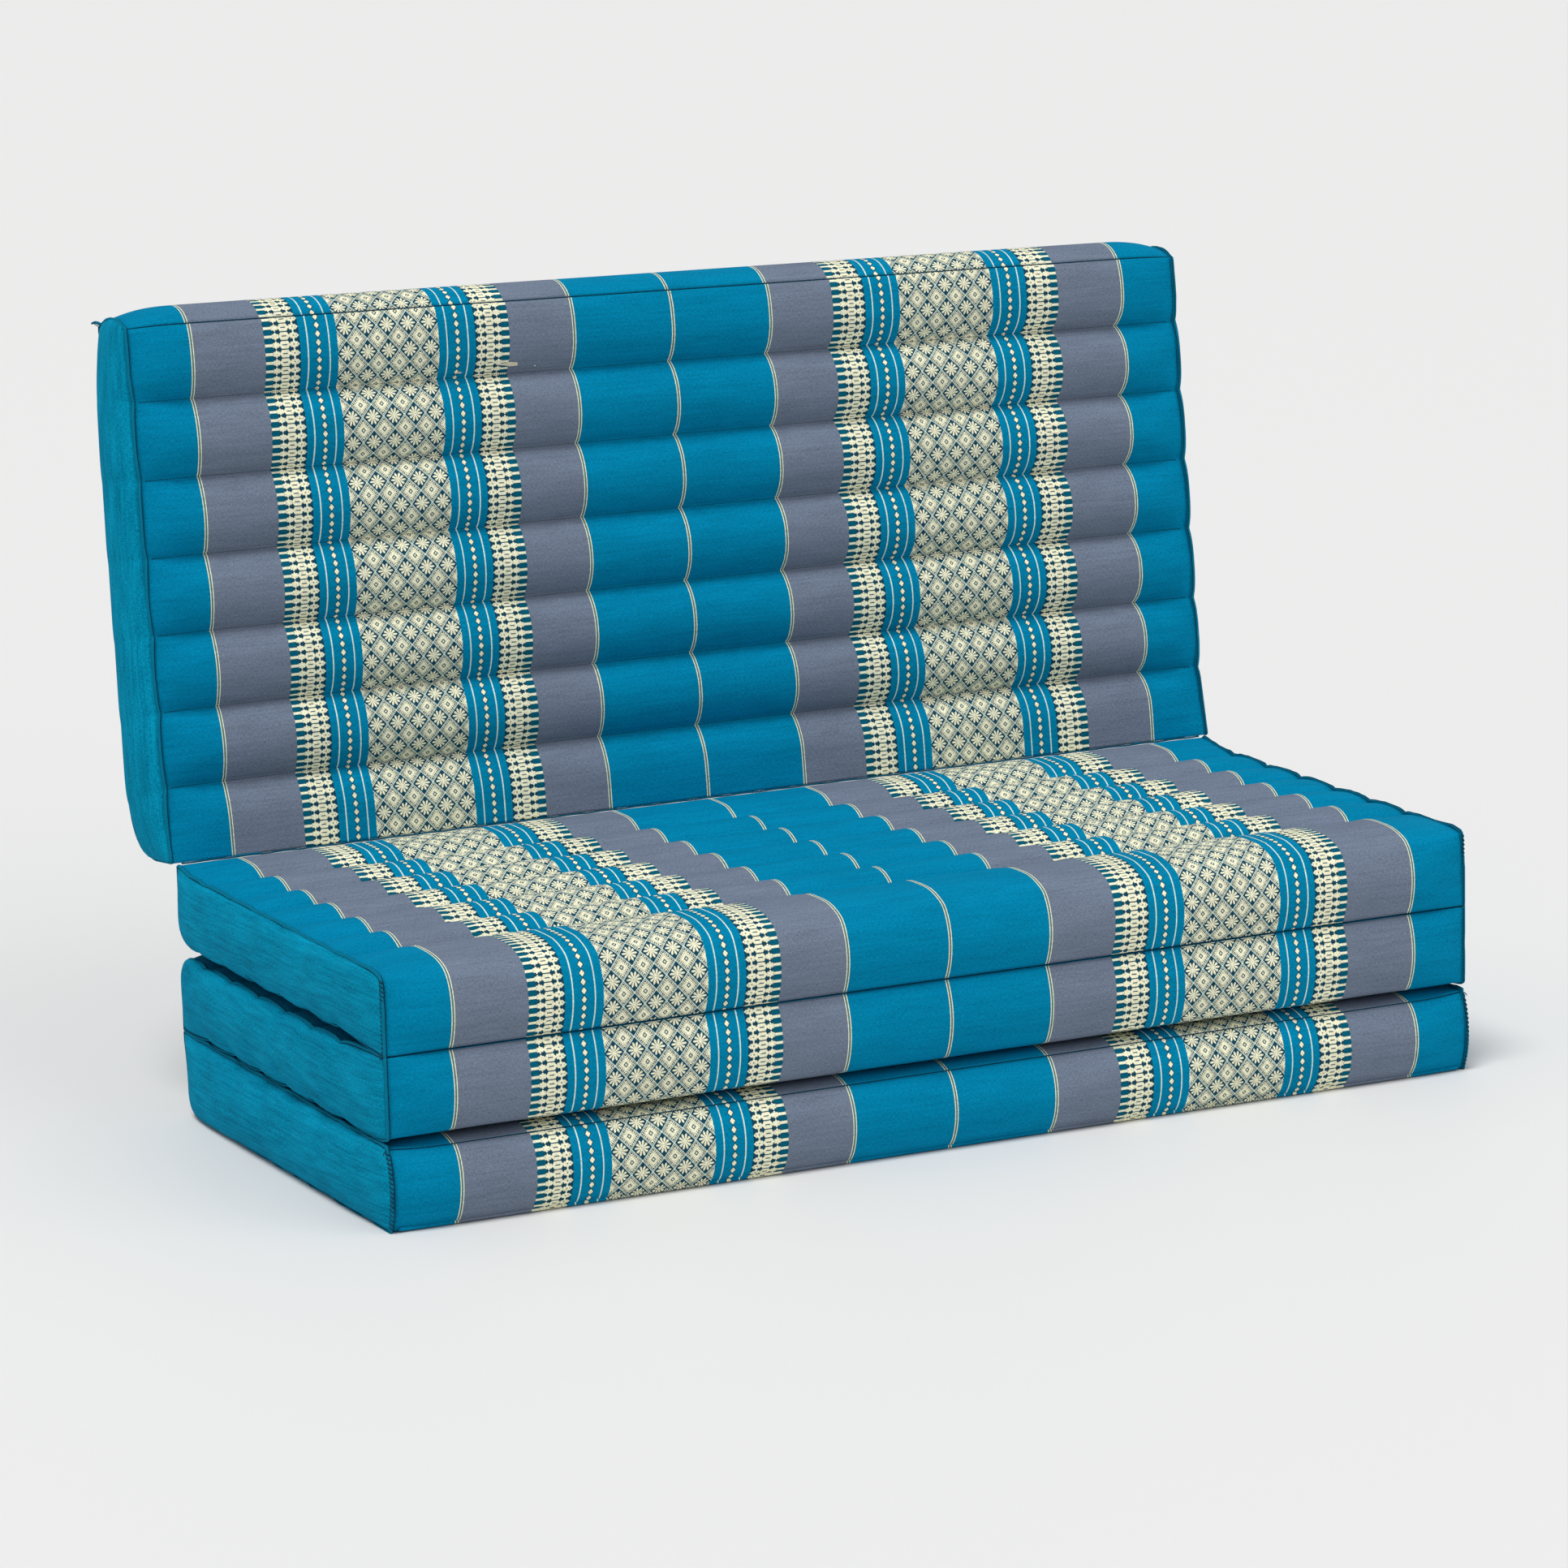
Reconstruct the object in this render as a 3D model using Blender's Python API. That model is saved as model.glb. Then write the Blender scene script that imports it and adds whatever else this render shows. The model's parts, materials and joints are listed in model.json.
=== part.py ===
"""Folding floor mattress of four channel-stuffed panels, set up as a low floor sofa.

Three panels are stacked in a zigzag (base, middle, seat) and the fourth (backrest) stands behind the
seat and leans back. Three sewn folds join them, and each fold turns about a line along X.
Metres, +Z up, +Y to the rear. The origin is the centre of the base's underside, on the floor.

Every panel is drawn in the same section plane (s, z). s runs along the panel from the fold on its
patterned side, and z is 0 at that fold's height and negative into the panel.
"""

import math

import bmesh
import bpy
from mathutils import Matrix, Vector

# Overall sizes.
WIDTH = 1.10
PANEL_LENGTH = 0.49
THICKNESS = 0.079
LEAN = math.radians(6.5)

# Quilting: the stuffed rolls, the bigger one at a wrapped end, the stitched valleys and the cloth.
ROLLS = 7
FRONT_ROLL = 0.102
VALLEY_DEPTH = 0.008
CLOTH = 0.0012
WALL = 0.0012
ROLL_STEPS = 6
ROLL_POWER = 2.2

# Ends of a panel.
WRAP_RADIUS = 0.024
REAR_RADIUS = 0.020
EDGE_DROP = 0.005
END_BULGE = 0.003
ARC_STEPS = 5

# Folds: a round binding on each fold line, clear of the corners of both panels.
BINDING_RADIUS = 0.002
BINDING_INSET = 0.004
BINDING_CLEARANCE = 0.0007
BINDING_SIDES = 12

# Clearances between neighbours.
GAP = 0.0003
FOLD_CLEARANCE = 0.0003

# Worked out from the sizes above.
PITCH = THICKNESS + 2 * FOLD_CLEARANCE
CROWN = -FOLD_CLEARANCE
UNDERSIDE = FOLD_CLEARANCE - PITCH
END = PANEL_LENGTH - FOLD_CLEARANCE
REAR = FOLD_CLEARANCE
CORNER_CUT = (BINDING_RADIUS + BINDING_CLEARANCE) / math.sqrt(2)
CORNER_SLOPE = (CORNER_CUT - FOLD_CLEARANCE) / 2

COLOURS = {
    "patterned_cloth": ((0.62, 0.60, 0.48), 0.85),
    "plain_cloth": ((0.01, 0.20, 0.36), 0.85),
    "boxing_cloth": ((0.01, 0.22, 0.34), 0.90),
    "kapok_fill": ((0.80, 0.72, 0.52), 0.95),
    "fold_binding": ((0.01, 0.10, 0.17), 0.80),
}


def clear_scene():
    for obj in list(bpy.data.objects):
        bpy.data.objects.remove(obj)


def material(name, node):
    """Each piece has a material of its own, in its kind's colour."""
    colour, roughness = COLOURS[name]
    made = bpy.data.materials.new(f"{node}_{name}")
    made.use_nodes = True
    shader = made.node_tree.nodes["Principled BSDF"]
    shader.inputs["Base Color"].default_value = (*colour, 1.0)
    shader.inputs["Roughness"].default_value = roughness
    shader.inputs["Metallic"].default_value = 0.0
    return made


# ---------------------------------------------------------------- the section of a panel


def valley_places(wrapped):
    """Where the channels of a panel are stitched, as distances along it from the fold."""
    last_roll = FRONT_ROLL if wrapped else PANEL_LENGTH / ROLLS
    return [(PANEL_LENGTH - last_roll) * i / (ROLLS - 1) for i in range(1, ROLLS)]


def roll_curve(start, end, start_z, end_z):
    """Points over one roll, without its last one: a crown that falls to a valley on either side."""
    points = []
    for step in range(ROLL_STEPS):
        t = step / ROLL_STEPS
        valley = start_z if t < 0.5 else end_z
        fall = abs(2 * t - 1) ** ROLL_POWER
        points.append((start + t * (end - start), CROWN + (valley - CROWN) * fall))
    return points


def arc(centre, radius, start_deg, end_deg, steps=ARC_STEPS):
    """Points on an arc, both ends included. 0 degrees is along s and 90 is up."""
    points = []
    for step in range(steps + 1):
        angle = math.radians(start_deg + (end_deg - start_deg) * step / steps)
        points.append((centre[0] + radius * math.cos(angle), centre[1] + radius * math.sin(angle)))
    return points


def panel_outline(wrapped):
    """The closed outer outline of a panel, clockwise from the corner at its patterned-side fold.

    A wrapped end is rounded over and runs down to a second fold, on the plain side. The other kind
    of end is boxed and free. Returns the points and the index of each seam along them.
    """
    valley = CROWN - VALLEY_DEPTH
    valleys = valley_places(wrapped)
    stops = [CORNER_CUT, *valleys]
    heights = [-CORNER_CUT] + [valley] * len(valleys)
    points = []
    for start, end, start_z, end_z in zip(stops, stops[1:], heights, heights[1:]):
        points += roll_curve(start, end, start_z, end_z)

    last = stops[-1]
    seams = {"fold": 0}
    if wrapped:
        rise = roll_curve(last, last + valleys[0], valley, valley)
        points += rise[: ROLL_STEPS // 2 + 1]
        points += arc((END - WRAP_RADIUS, CROWN - WRAP_RADIUS), WRAP_RADIUS, 90, 0)
        seams["top_end"] = seams["under_end"] = len(points)
        points.append((PANEL_LENGTH - CORNER_CUT, CORNER_CUT - PITCH))
        points.append((PANEL_LENGTH - CORNER_CUT - CORNER_SLOPE, UNDERSIDE))
    else:
        edge = END - END_BULGE
        points += roll_curve(last, edge, valley, CROWN - EDGE_DROP)
        seams["top_end"] = len(points)
        points.append((edge, CROWN - EDGE_DROP))
        points.append((END, CROWN - EDGE_DROP - THICKNESS / 3))
        points.append((END, UNDERSIDE + THICKNESS / 3))
        seams["under_end"] = len(points)
        points.append((edge, UNDERSIDE))

    points += arc((REAR + REAR_RADIUS, UNDERSIDE + REAR_RADIUS), REAR_RADIUS, 270, 180)
    points.append((REAR, -CORNER_CUT - CORNER_SLOPE))
    return points, seams


def inset(points, distance):
    """The closed clockwise outline moved inwards by a distance, with mitred corners."""
    moved = []
    for before, here, after in zip(points[-1:] + points[:-1], points, points[1:] + points[:1]):
        arriving = (Vector(here) - Vector(before)).normalized()
        leaving = (Vector(after) - Vector(here)).normalized()
        first = Vector((arriving.y, -arriving.x))
        second = Vector((leaving.y, -leaving.x))
        moved.append(tuple(Vector(here) + (first + second) * distance / (1 + first.dot(second))))
    return moved


def trimmed(points, distance):
    """An open run of points, shortened at both ends along its own direction."""
    run = [Vector(point) for point in points]
    head = run[0] + (run[1] - run[0]).normalized() * distance
    tail = run[-1] + (run[-2] - run[-1]).normalized() * distance
    return [tuple(point) for point in (head, *run[1:-1], tail)]


def cut(points, limit, keep_above):
    """The part of a closed outline on one side of s = limit."""
    kept = []
    for here, after in zip(points, points[1:] + points[:1]):
        inside = (here[0] >= limit) == keep_above
        if inside:
            kept.append(here)
        if inside != ((after[0] >= limit) == keep_above):
            t = (limit - here[0]) / (after[0] - here[0])
            kept.append((limit, here[1] + t * (after[1] - here[1])))
    return kept


def cloth_band(outer, inner, first, last):
    """The section of one layer of cloth, from one seam of the outline to the next."""
    count = len(outer)
    indices = [i % count for i in range(first, last + 1)]
    outside = trimmed([outer[i] for i in indices], GAP / 2)
    inside = trimmed([inner[i] for i in indices], GAP / 2)
    return outside, inside


def channel_walls(valleys, floor_z, valley_z):
    """The walls between the channels, as points along the inside of the under cover."""
    points = []
    for valley in valleys:
        near, far = valley - WALL / 2, valley + WALL / 2
        top = valley_z - GAP
        points += [(near, floor_z), (near, top), (far, top), (far, floor_z)]
    return points


# ---------------------------------------------------------------- solids


def extruded(node, kind, section, x_from, x_to):
    """A closed solid: the section (s, z) swept along X, named and with its own material."""
    mesh = bpy.data.meshes.new(node)
    build = bmesh.new()
    face = build.faces.new([build.verts.new((x_from, s, z)) for s, z in section])
    swept = bmesh.ops.extrude_face_region(build, geom=[face])
    moved = [item for item in swept["geom"] if isinstance(item, bmesh.types.BMVert)]
    bmesh.ops.translate(build, verts=moved, vec=(x_to - x_from, 0, 0))
    bmesh.ops.recalc_face_normals(build, faces=build.faces)
    build.to_mesh(mesh)
    build.free()
    mesh.shade_smooth()
    mesh.set_sharp_from_angle(angle=math.radians(40))
    mesh.materials.append(material(kind, node))
    obj = bpy.data.objects.new(node, mesh)
    bpy.context.collection.objects.link(obj)
    return obj


def binding(node, length):
    """The rolled seam allowance on a fold line."""
    circle = [
        (BINDING_RADIUS * math.cos(turn), BINDING_RADIUS * math.sin(turn))
        for turn in (2 * math.pi * side / BINDING_SIDES for side in range(BINDING_SIDES))
    ]
    return extruded(node, "fold_binding", circle, -length / 2, length / 2)


def panel(name, wrapped, turned):
    """All the pieces of one panel, in its own frame. turned: its local +X is on the object's left."""
    outer, seams = panel_outline(wrapped)
    inner = inset(outer, CLOTH)
    fill = inset(outer, CLOTH + GAP)
    half = WIDTH / 2
    reach = half - CLOTH - GAP
    pieces = []

    outside, inside = cloth_band(outer, inner, seams["fold"], seams["top_end"])
    top_section = outside + inside[::-1]
    pieces.append(extruded(f"{name}_top_cover", "patterned_cloth", top_section, -reach, reach))

    outside, inside = cloth_band(outer, inner, seams["under_end"], len(outer))
    inside = inside[::-1]
    bend = next(i for i, (s, _) in enumerate(inside) if s > REAR + REAR_RADIUS - CLOTH) + 1
    valley_z = inner[ROLL_STEPS][1]
    valleys = valley_places(wrapped)
    walls = channel_walls(valleys, UNDERSIDE + CLOTH, valley_z)
    under_section = outside + inside[:bend] + walls + inside[bend:]
    pieces.append(extruded(f"{name}_under_cover", "plain_cloth", under_section, -reach, reach))

    if not wrapped:
        outside, inside = cloth_band(outer, inner, seams["top_end"], seams["under_end"])
        where = "front" if name == "base" else "top"
        section = outside + inside[::-1]
        pieces.append(extruded(f"{name}_{where}_boxing", "patterned_cloth", section, -reach, reach))

    for sign in (-1, 1):
        side = "left" if (sign < 0) != turned else "right"
        ends = sorted((sign * half, sign * (half - CLOTH)))
        pieces.append(extruded(f"{name}_{side}_boxing", "boxing_cloth", outer, *ends))

    bounds = [REAR, *valleys, END]
    for index, (start, end) in enumerate(zip(bounds, bounds[1:]), 1):
        section = fill
        if index > 1:
            section = cut(section, start + WALL / 2 + GAP, True)
        if index < ROLLS:
            section = cut(section, end - WALL / 2 - GAP, False)
        pieces.append(extruded(f"{name}_kapok_roll_{index}", "kapok_fill", section, -reach, reach))
    return pieces


# ---------------------------------------------------------------- assembly


def fold_axis(name, location, parent=None):
    """An empty on a fold line. What it carries turns about its X axis."""
    empty = bpy.data.objects.new(name, None)
    empty.empty_display_size = 0.05
    bpy.context.collection.objects.link(empty)
    world = Matrix.Translation(location)
    place(empty, parent, world)
    return empty, world


def place(obj, parent, world):
    """Parents an object, whose world matrix is given, to an (empty, world matrix) pair."""
    if parent is None:
        obj.matrix_basis = world
        return
    obj.parent = parent[0]
    obj.matrix_basis = parent[1].inverted() @ world


def main():
    clear_scene()
    rear_y, front_y = PANEL_LENGTH / 2, -PANEL_LENGTH / 2
    fold_z = [PITCH * level - FOLD_CLEARANCE for level in (1, 2, 3)]

    seat = fold_axis("seat_frame", (0, 0, fold_z[2]))
    back_lean = fold_axis("back_lean_axis", (0, rear_y, fold_z[2]), seat)
    front_fold = fold_axis("front_fold_axis", (0, front_y, fold_z[1]), seat)
    rear_fold = fold_axis("rear_fold_axis", (0, rear_y, fold_z[0]), front_fold)

    face_up = Matrix.Rotation(math.pi, 4, "Z")
    face_down = Matrix.Rotation(math.pi, 4, "X")
    upright = Matrix.Rotation(math.pi / 2 - LEAN, 4, "X")
    layout = (
        ("base", False, True, rear_fold, Matrix.Translation((0, rear_y, fold_z[0])) @ face_up),
        ("middle", True, False, front_fold, Matrix.Translation((0, rear_y, fold_z[0])) @ face_down),
        ("seat", True, True, seat, Matrix.Translation((0, rear_y, fold_z[2])) @ face_up),
        ("backrest", False, False, back_lean, Matrix.Translation((0, rear_y, fold_z[2])) @ upright),
    )
    for name, wrapped, turned, parent, world in layout:
        for piece in panel(name, wrapped, turned):
            place(piece, parent, world)

    length = WIDTH - 2 * BINDING_INSET
    for name, axis in (
        ("rear_fold_binding", rear_fold),
        ("front_fold_binding", front_fold),
        ("back_fold_binding", back_lean),
    ):
        place(binding(name, length), axis, axis[1])


main()
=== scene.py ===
import json
import math

import bmesh
import bpy
import numpy as np
from mathutils import Matrix, Vector


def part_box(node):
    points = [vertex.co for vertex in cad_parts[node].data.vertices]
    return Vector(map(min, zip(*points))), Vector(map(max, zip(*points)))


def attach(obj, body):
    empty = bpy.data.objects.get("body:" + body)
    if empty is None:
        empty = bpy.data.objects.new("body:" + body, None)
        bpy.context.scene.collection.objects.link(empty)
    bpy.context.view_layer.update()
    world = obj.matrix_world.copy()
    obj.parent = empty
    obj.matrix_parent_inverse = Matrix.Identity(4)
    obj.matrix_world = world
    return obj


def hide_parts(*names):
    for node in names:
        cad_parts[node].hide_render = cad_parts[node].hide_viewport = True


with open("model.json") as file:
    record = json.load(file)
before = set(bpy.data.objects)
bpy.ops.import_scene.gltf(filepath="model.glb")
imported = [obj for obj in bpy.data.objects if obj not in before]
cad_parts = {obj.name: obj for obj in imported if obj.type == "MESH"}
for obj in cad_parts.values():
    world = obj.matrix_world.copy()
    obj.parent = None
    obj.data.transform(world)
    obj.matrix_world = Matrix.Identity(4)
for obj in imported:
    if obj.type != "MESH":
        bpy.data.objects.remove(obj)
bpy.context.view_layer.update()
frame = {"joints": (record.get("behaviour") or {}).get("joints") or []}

# ------------------------------------------------------------------ the four stuffed casings
# Each panel of the mattress is a casing of cotton cloth, stitched across into seven channels that
# are packed with kapok. The casing is drawn as a closed form that flattens to its side seams, and
# is then swollen as cloth held down at every seam. The sewn pieces are cut from it afterwards.

joint_at = {joint["name"]: joint["pos_m"] for joint in frame["joints"]}
REAR_Y, FRONT_Y = joint_at["rear_fold"][1], joint_at["front_fold"][1]
FOLD_Z = [joint_at[name][2] for name in ("rear_fold", "front_fold", "back_lean")]
LEAN = math.radians(90 + next(j for j in frame["joints"] if j["name"] == "back_lean")["range_deg"][0])
LENGTH = REAR_Y - FRONT_Y
DEPTH = FOLD_Z[1] - FOLD_Z[0]
HALF_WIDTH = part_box("seat_right_boxing")[1].x
TURN_OVER = Matrix.Rotation(math.pi, 4, "X")
TURN_ROUND = Matrix.Rotation(math.pi, 4, "Z")
STAND_UP = Matrix.Rotation(math.pi / 2 - LEAN, 4, "X")
PANELS = {
    "base": Matrix.Translation((0, REAR_Y, FOLD_Z[0])) @ TURN_ROUND,
    "middle": Matrix.Translation((0, REAR_Y, FOLD_Z[0])) @ TURN_OVER,
    "seat": Matrix.Translation((0, REAR_Y, FOLD_Z[2])) @ TURN_ROUND,
    "backrest": Matrix.Translation((0, REAR_Y, FOLD_Z[2])) @ STAND_UP,
}
WRAPPED = ("middle", "seat")
CHANNELS = 7
STEPS = 12  # along one channel
END_STEPS = 16  # from the patterned side of a panel to its plain side
COLUMN = 0.0065
CLEAR = 0.0005
CROWN, UNDER = -CLEAR, CLEAR - DEPTH
VALLEY, PLAIN_VALLEY, FLOOR_VALLEY = 0.0180, 0.0075, 0.0012
TIGHT = 0.80
SIDE_DROP = {"base": 0.0030, "middle": 0.0030, "seat": 0.0080, "backrest": 0.0080}
SIDE_WAVE = {"base": 0.0012, "middle": 0.0012, "seat": 0.0024, "backrest": 0.0018}
UNDER_DROP = 0.0054
SIDE_TUCK = 0.0024
MARGIN = 0.056
BOXING_BULGE = {"base": 0.0115, "middle": 0.0115, "seat": 0.0115, "backrest": 0.0105}
BULGE_POWER, BULGE_REACH, BULGE_WAVE = 0.55, 8, 0.02
LEFT_SAG = {"backrest": 0.0080}
END_BULGE = {"base": 0.0130, "backrest": 0.0145}
END_EDGE, FACE_SEAM, END_LIFT = 0.003, 0.006, 0.0015
FRONT_BULGE = 0.0100
FRONT_CLIMB = 0.05
FRONT_CORNER = {"seat": (0.004, 0.011), "middle": (0.002, 0.007)}  # in from the end, down from the crown
FRONT_TURN = {"seat": ((0.030, 0.001), (0.010, 0.003)), "middle": ((0.020, 0.0), (0.007, 0.001))}
REAR_ROUND, REAR_UPRIGHT = 0.026, 0.030
SIDE_REAR = 0.010
SETTLED_NEAR_FOLD, SETTLED_SHARE = 0.045, 0.22
ROLL_POWER, UNDER_POWER, FULL_POWER = 2.1, 2.2, 2.3
BACK_PULL, BACK_WIDER = 0.15, 1.009
FOLD_EDGE = 0.0004
FOLD_GAP = 0.00008
TOP_LEFT, TOP_RIGHT = 0.014, -0.005
SWELL_PRESSURE = 4.0
SWELL_FRAMES = 14
SWELL_LIMIT = 0.0040
PUCKER, GATHERS = 0.00035, (0.019, 0.026, 0.041, 0.013)
UNEVEN, UNEVEN_WAVES = 0.0006, (0.24, 0.13, 0.37)
SOFT_END, SOFT_FACE = 0.0003, 0.0008


def scene_object(name, data):
    """A new object in the scene, for a mesh, the camera or a light."""
    obj = bpy.data.objects.new(name, data)
    bpy.context.scene.collection.objects.link(obj)
    return obj


def turn_outwards(mesh):
    """Points the faces of a closed mesh outwards."""
    build = bmesh.new()
    build.from_mesh(mesh)
    bmesh.ops.recalc_face_normals(build, faces=build.faces)
    build.to_mesh(mesh)
    build.free()


def grid_faces(index):
    """The faces of a grid of point numbers, by row and column."""
    return np.stack([index[:-1, :-1], index[1:, :-1], index[1:, 1:], index[:-1, 1:]], axis=-1)


def valleys_along(name):
    """How far along a panel each row of channel stitching lies, halfway between the rolls beside it."""
    like = "seat" if name in WRAPPED else "base"
    rolls = [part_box(f"{like}_kapok_roll_{i}") for i in range(1, CHANNELS + 1)]
    return [REAR_Y - (near[0].y + far[1].y) / 2 for near, far in zip(rolls, rolls[1:])]


def curve(points, count):
    """Points on a cubic curve through its four handles, without the last one."""
    p = np.array(points, float)
    t = (np.arange(count) / count)[:, None]
    return (1 - t) ** 3 * p[0] + 3 * t * (1 - t) ** 2 * p[1] + 3 * t * t * (1 - t) * p[2] + t**3 * p[3]


def over_rolls(edges, depths, crown, power):
    """Points over the rolls between the given edges, closer together near the stitching."""
    rows = []
    for start, end, low_start, low_end in zip(edges, edges[1:], depths, depths[1:]):
        for step in range(STEPS):
            t = step / STEPS
            t = 0.25 * t + 0.75 * (1 - math.cos(math.pi * t)) / 2
            low = low_start if t < 0.5 else low_end
            fall = 1 - (1 - abs(2 * t - 1) ** power) ** TIGHT
            rows.append((start + t * (end - start), crown + (low - crown) * fall))
    return np.array(rows)


def casing_section(name):
    """The section of a panel round its four sides: in the middle of its width, and at its side seams.

    Every curve in it is given by where it starts, its two handles and where it ends.
    """
    valleys = valleys_along(name)
    last = valleys[-1]
    low = -SIDE_DROP[name]
    high = UNDER + (END_LIFT if name == "base" else UNDER_DROP)
    drops = [CROWN - VALLEY] * (CHANNELS - 1)
    if name in WRAPPED:
        tip = LENGTH + FRONT_BULGE
        edges = [FOLD_EDGE, *valleys, 2 * LENGTH - last]
        top = over_rolls(edges, [-FOLD_EDGE, *drops, CROWN], CROWN, ROLL_POWER)
        crest = (last + FRONT_CLIMB, CROWN)
        climb = [(last, CROWN - VALLEY), (last + 0.012, CROWN - 0.0005), (last + 0.032, CROWN + 0.0015)]
        corner = (LENGTH - FRONT_CORNER[name][0], CROWN - FRONT_CORNER[name][1])
        turn = [crest, *((LENGTH - back, CROWN - drop) for back, drop in FRONT_TURN[name]), corner]
        rolls = top[: (CHANNELS - 1) * STEPS]
        top = np.concatenate([rolls, curve([*climb, crest], STEPS // 2), curve(turn, STEPS // 2)])
        under_start = LENGTH - FOLD_EDGE
        fold = FOLD_GAP - DEPTH
        front = [corner, (tip + 0.003, CROWN - 0.025), (tip + 0.001, UNDER + 0.0160), (under_start, fold)]
        front_side = [
            (LENGTH - 0.006, low - 0.004), (LENGTH - 0.002, low - 0.010),
            (LENGTH - 0.002, UNDER + 0.012), (LENGTH - 0.0006, fold),
        ]
    else:
        under_start = edge = LENGTH - END_EDGE
        tip = LENGTH + END_BULGE[name] * 4 / 3
        seam = CROWN - FACE_SEAM
        top = over_rolls([FOLD_EDGE, *valleys, edge], [-FOLD_EDGE, *drops, seam], CROWN, ROLL_POWER)
        front = [(edge, seam), (tip, CROWN - 0.017), (tip, UNDER + 0.018), (edge, UNDER + END_LIFT)]
        tip = LENGTH + END_BULGE[name] * 0.5
        front_side = [(edge - 0.002, low - 0.001), (tip, low - 0.02)]
        front_side += [(tip, high + 0.02), (edge - 0.001, high)]
    drop = FLOOR_VALLEY if name == "base" else PLAIN_VALLEY
    edges = [under_start, *valleys[::-1], REAR_ROUND]
    meets = FOLD_GAP - DEPTH if name in WRAPPED else UNDER
    under = over_rolls(edges, [meets] + [UNDER + drop] * (CHANNELS - 1) + [UNDER], UNDER, UNDER_POWER)
    half = END_STEPS // 2
    upright = (CLEAR, UNDER + REAR_UPRIGHT)
    rear = np.concatenate([
        curve([(REAR_ROUND, UNDER), (0.008, UNDER), (CLEAR, UNDER + 0.008), upright], half),
        curve([upright, (CLEAR, -0.022), (CLEAR, -0.008), (FOLD_EDGE, -FOLD_EDGE)], half),
    ])
    wave = (top[:, 1] - CROWN + VALLEY / 2) / VALLEY * SIDE_WAVE[name]
    near_fold = np.clip(top[:, 0] / SETTLED_NEAR_FOLD, 0, 1)
    settled = SETTLED_SHARE + (1 - SETTLED_SHARE) * near_fold * near_fold * (3 - 2 * near_fold)
    top_side = np.stack([top[:, 0], (low + wave) * settled], axis=1)
    if name in WRAPPED:
        fall = np.clip((top[:, 0] - LENGTH + 0.03) / 0.03, 0, 1)
        top_side[:, 1] -= 0.003 * fall**2
        front_side[0] = tuple(top_side[-1] + (0.003, -0.0015))
    share = 0.1 if name == "backrest" else 0.5
    under_side = np.stack([under[:, 0], high + (under[:, 1] - UNDER) * share], axis=1)
    if name in WRAPPED:
        close = np.clip((under[:, 0] - LENGTH + 0.16) / 0.16, 0, 1) ** 2
        under_side[:, 1] += (meets + 0.0003 - high) * close
    last_roll = np.clip((valleys[0] - under[:, 0]) / (valleys[0] - REAR_ROUND), 0, 1)
    under_side[:, 0] += SIDE_REAR * last_roll
    back = 0.009 if name == "base" else 0.002
    upright = (back, high + 0.026)
    rear_side = np.concatenate([
        curve([(REAR_ROUND + SIDE_REAR, high), (0.016, high), (back, high + 0.008), upright], half),
        curve([upright, (back, -0.034), (0.001, -0.012), tuple(top_side[0])], half),
    ])
    middle = np.concatenate([top, curve(front, END_STEPS), under, rear])
    side = np.concatenate([top_side, curve(front_side, END_STEPS), under_side, rear_side])
    return middle, side


def cap_grid(edge_loop):
    """A grid of points that spans a closed loop of four sides, with the loop as its border."""
    n, m = CHANNELS * STEPS, END_STEPS
    top, front = edge_loop[: n + 1], edge_loop[n : n + m + 1]
    under = edge_loop[n + m : 2 * n + m + 1][::-1]
    rear = np.concatenate([edge_loop[2 * n + m :], edge_loop[:1]])[::-1]
    u = np.linspace(0, 1, n + 1)[:, None, None]
    v = np.linspace(0, 1, m + 1)[None, :, None]
    along = (1 - v) * top[:, None] + v * under[:, None]
    down = (1 - u) * rear[None] + u * front[None]
    corners = (1 - u) * (1 - v) * top[0] + u * (1 - v) * top[-1] + (1 - u) * v * under[0] + u * v * under[-1]
    return along + down - corners


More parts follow.
